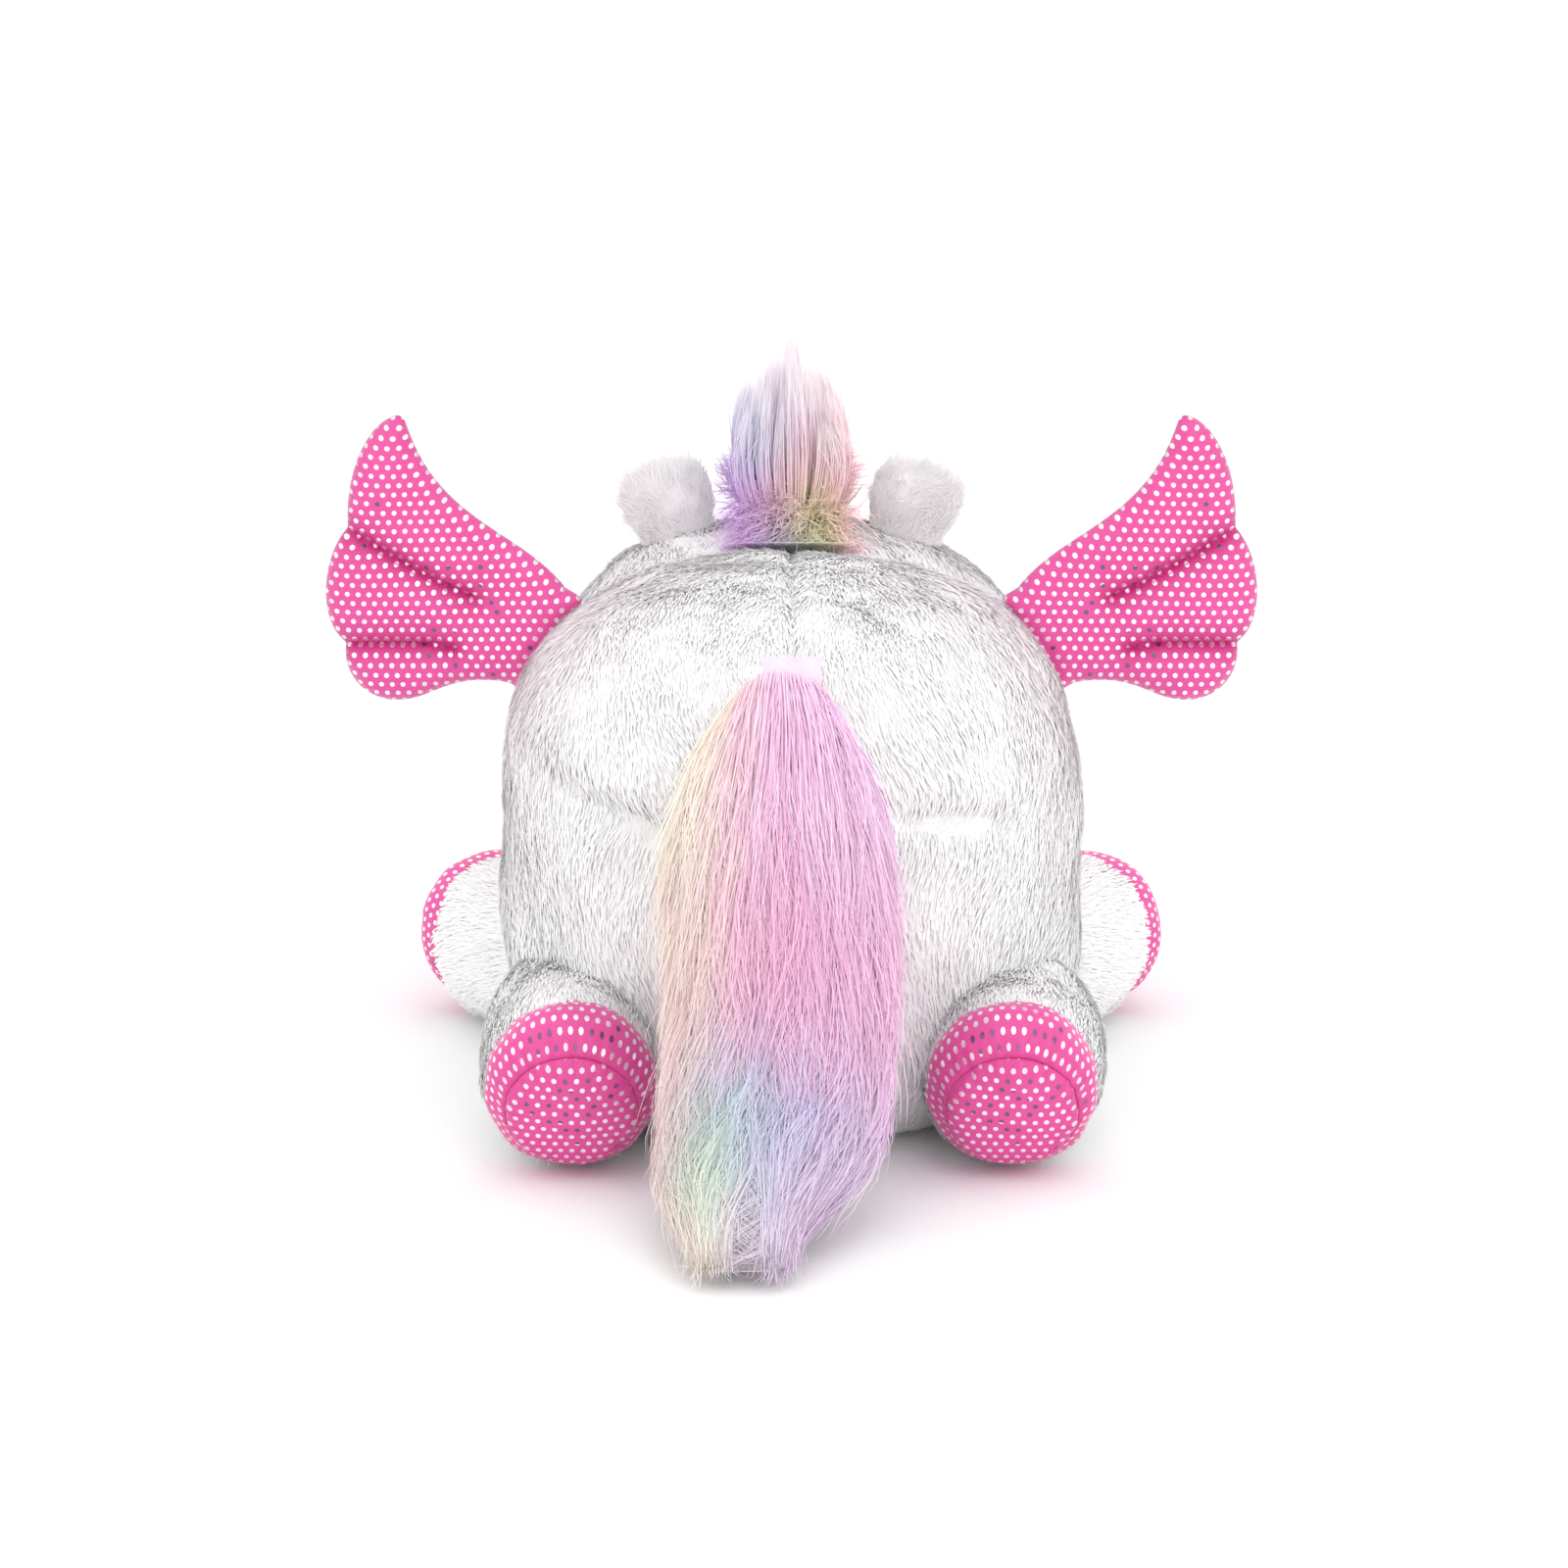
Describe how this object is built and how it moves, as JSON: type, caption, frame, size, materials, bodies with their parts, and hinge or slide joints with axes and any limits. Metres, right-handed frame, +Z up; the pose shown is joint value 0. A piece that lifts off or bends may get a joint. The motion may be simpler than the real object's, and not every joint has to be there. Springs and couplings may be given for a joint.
{
  "type": "plush unicorn",
  "caption": "Soft toy unicorn lying on its belly, with white plush body, foil-dot wings and hooves, standing mane and long pastel rainbow tail.",
  "frame": {"origin": "on the floor under the middle of the whole toy's box", "axes": "the toy faces -Y and its tail lies towards +Y, its left side is +X, +Z is up"},
  "size_m": [0.3676, 0.476, 0.2705],
  "materials": {
    "white_plush": "short dense pile, combed",
    "fibre_fill": "loose fibre",
    "foil_dot_cloth": "satin knit with small mirror-foil dots",
    "ear_lining": "smooth short pile",
    "horn_cloth": "satin",
    "horn_cord": "twisted metallic cord",
    "rainbow_pile": "long silky pile, dyed in pastel bands",
    "pile_tape": "woven tape",
    "eye_plastic": "polished",
    "washer_plastic": "moulded",
    "embroidery": "satin stitch"
  },
  "bodies": {
    "body": {"body_cover_left": "white_plush", "body_cover_right": "white_plush", "belly_panel": "white_plush", "body_stuffing": "fibre_fill"},
    "head": {"head_cover_left": "white_plush", "head_cover_right": "white_plush", "head_stuffing": "fibre_fill", "muzzle_cover": "white_plush", "muzzle_stuffing": "fibre_fill", "eye_left": "eye_plastic", "eye_right": "eye_plastic", "eye_washer_left": "washer_plastic", "eye_washer_right": "washer_plastic", "nostril_left": "embroidery", "nostril_right": "embroidery", "mouth_stitching": "embroidery", "horn_cover": "horn_cloth", "horn_stuffing": "fibre_fill", "horn_cord": "horn_cord", "mane_tape": "pile_tape", "mane_hair": "rainbow_pile"},
    "ear_left": {"ear_back_left": "white_plush", "ear_lining_left": "ear_lining"},
    "wing_left": {"wing_rear_cover_left": "foil_dot_cloth", "wing_front_cover_left": "foil_dot_cloth", "wing_padding_left": "fibre_fill"},
    "front_leg_left": {"front_leg_cover_left": "white_plush", "front_leg_stuffing_left": "fibre_fill", "front_hoof_band_left": "foil_dot_cloth", "front_hoof_sole_left": "foil_dot_cloth"},
    "hind_leg_left": {"hind_leg_cover_left": "white_plush", "hind_leg_stuffing_left": "fibre_fill", "hind_hoof_band_left": "foil_dot_cloth", "hind_hoof_sole_left": "foil_dot_cloth"},
    "ear_right": {"ear_back_right": "white_plush", "ear_lining_right": "ear_lining"},
    "wing_right": {"wing_rear_cover_right": "foil_dot_cloth", "wing_front_cover_right": "foil_dot_cloth", "wing_padding_right": "fibre_fill"},
    "front_leg_right": {"front_leg_cover_right": "white_plush", "front_leg_stuffing_right": "fibre_fill", "front_hoof_band_right": "foil_dot_cloth", "front_hoof_sole_right": "foil_dot_cloth"},
    "hind_leg_right": {"hind_leg_cover_right": "white_plush", "hind_leg_stuffing_right": "fibre_fill", "hind_hoof_band_right": "foil_dot_cloth", "hind_hoof_sole_right": "foil_dot_cloth"},
    "tail": {"tail_tape": "pile_tape", "tail_hair": "rainbow_pile"}
  },
  "joints": [
    {"name": "head_nod", "type": "hinge", "parent": "body", "child": "head", "pos_m": [0, -0.12107, 0.11], "axis": [-1, 0, 0], "range_deg": [-8, 6], "stiffness_Nm_per_rad": 1.5},
    {"name": "ear_fold_left", "type": "hinge", "parent": "head", "child": "ear_left", "pos_m": [0.04773, -0.12107, 0.19832], "axis": [0.9525, 0, -0.3044], "range_deg": [-25, 25], "stiffness_Nm_per_rad": 0.01},
    {"name": "wing_flap_left", "type": "hinge", "parent": "body", "child": "wing_left", "pos_m": [0.1016, -0.02607, 0.17535], "axis": [0.5206, 0, -0.8538], "range_deg": [-35, 30], "stiffness_Nm_per_rad": 0.08},
    {"name": "front_leg_swing_left", "type": "hinge", "parent": "body", "child": "front_leg_left", "pos_m": [0.09335, -0.0446, 0.034], "axis": [0, 0, 1], "range_deg": [-5, 32], "stiffness_Nm_per_rad": 0.3},
    {"name": "hind_leg_swing_left", "type": "hinge", "parent": "body", "child": "hind_leg_left", "pos_m": [0.085, 0.05711, 0.034], "axis": [0, 0, -1], "range_deg": [-3, 28], "stiffness_Nm_per_rad": 0.3},
    {"name": "ear_fold_right", "type": "hinge", "parent": "head", "child": "ear_right", "pos_m": [-0.04773, -0.12107, 0.19832], "axis": [0.9525, 0, 0.3044], "range_deg": [-25, 25], "stiffness_Nm_per_rad": 0.01},
    {"name": "wing_flap_right", "type": "hinge", "parent": "body", "child": "wing_right", "pos_m": [-0.1016, -0.02607, 0.17535], "axis": [0.5206, 0, 0.8538], "range_deg": [-35, 30], "stiffness_Nm_per_rad": 0.08},
    {"name": "front_leg_swing_right", "type": "hinge", "parent": "body", "child": "front_leg_right", "pos_m": [-0.09335, -0.0446, 0.034], "axis": [0, 0, -1], "range_deg": [-5, 32], "stiffness_Nm_per_rad": 0.3},
    {"name": "hind_leg_swing_right", "type": "hinge", "parent": "body", "child": "hind_leg_right", "pos_m": [-0.085, 0.05711, 0.034], "axis": [0, 0, 1], "range_deg": [-3, 28], "stiffness_Nm_per_rad": 0.3},
    {"name": "tail_lift", "type": "hinge", "parent": "body", "child": "tail", "pos_m": [0, 0.09637, 0.193], "axis": [1, 0, 0], "range_deg": [0, 60]}
  ]
}
